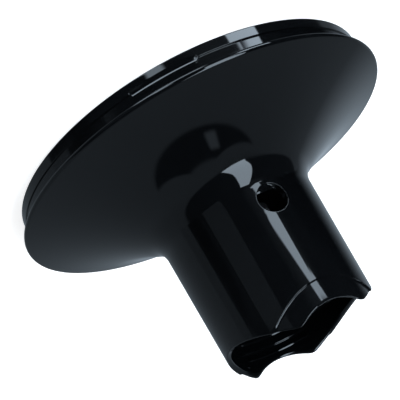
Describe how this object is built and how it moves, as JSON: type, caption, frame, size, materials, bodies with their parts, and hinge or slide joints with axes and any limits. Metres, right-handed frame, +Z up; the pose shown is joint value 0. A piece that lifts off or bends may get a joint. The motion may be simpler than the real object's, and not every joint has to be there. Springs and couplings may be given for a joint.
{
  "type": "geared chopper lid for a hand blender",
  "caption": "Glossy black flared lid for a food chopper bowl, with a neck that takes a hand blender's motor body and a planetary gear that drives the blade.",
  "frame": {"origin": "centre of the skirt's lower edge, on the neck's axis", "axes": "+Z up the neck towards the motor body; X through the two latch windows"},
  "size_m": [0.155, 0.155, 0.0907],
  "materials": {
    "gloss_black": "high gloss moulded",
    "satin_black": "satin moulded, fine spark texture",
    "seal_rubber": "matte",
    "steel": "turned",
    "bronze": "sintered, oil filled",
    "gear_plastic": "natural, satin",
    "carrier_plastic": "glass filled, satin",
    "gear_case_plastic": "glass filled, satin",
    "washer_plastic": "satin",
    "coupling_plastic": "satin moulded"
  },
  "bodies": {
    "lid": {"lid_shell": "gloss_black", "bottom_cover": "satin_black", "cover_seal": "seal_rubber", "cover_screws": "steel", "output_seal": "seal_rubber", "gear_case": "gear_case_plastic", "case_mount_screws": "steel", "gear_case_gasket": "seal_rubber", "gear_case_cover": "gear_case_plastic", "gear_case_screws": "steel", "ring_gear": "gear_plastic", "output_bush": "bronze", "input_bush": "bronze", "lower_thrust_washer": "washer_plastic", "upper_thrust_washer": "washer_plastic", "input_seal": "seal_rubber", "seal_washer": "steel"},
    "drive_input": {"sun_gear": "steel", "input_shaft": "steel", "input_coupling": "coupling_plastic", "coupling_clip": "steel"},
    "carrier": {"planet_carrier": "carrier_plastic", "carrier_plate": "steel", "carrier_screws": "steel", "planet_pins": "steel", "drive_insert": "steel", "carrier_clip": "steel"},
    "planet_1": {"planet_gear_1": "gear_plastic", "planet_bush_1": "bronze"},
    "planet_2": {"planet_gear_2": "gear_plastic", "planet_bush_2": "bronze"},
    "planet_3": {"planet_gear_3": "gear_plastic", "planet_bush_3": "bronze"}
  },
  "joints": [
    {"name": "carrier_spin", "type": "hinge", "parent": "lid", "child": "carrier", "pos_m": [0, 0, 0.006], "axis": [0, 0, 1], "continuous": true},
    {"name": "input_spin", "type": "hinge", "parent": "lid", "child": "drive_input", "pos_m": [0, 0, 0.0286], "axis": [0, 0, 1], "continuous": true},
    {"name": "planet_1_spin", "type": "hinge", "parent": "carrier", "child": "planet_1", "pos_m": [0, 0.0135, 0.0177], "axis": [0, 0, 1], "continuous": true},
    {"name": "planet_2_spin", "type": "hinge", "parent": "carrier", "child": "planet_2", "pos_m": [-0.01169, -0.00675, 0.0177], "axis": [0, 0, 1], "continuous": true},
    {"name": "planet_3_spin", "type": "hinge", "parent": "carrier", "child": "planet_3", "pos_m": [0.01169, -0.00675, 0.0177], "axis": [0, 0, 1], "continuous": true}
  ],
  "couplings": [
    {"joint": "input_spin", "follows": "carrier_spin", "ratio": 4.5},
    {"joint": "planet_1_spin", "follows": "carrier_spin", "ratio": -2.8},
    {"joint": "planet_2_spin", "follows": "carrier_spin", "ratio": -2.8},
    {"joint": "planet_3_spin", "follows": "carrier_spin", "ratio": -2.8}
  ]
}
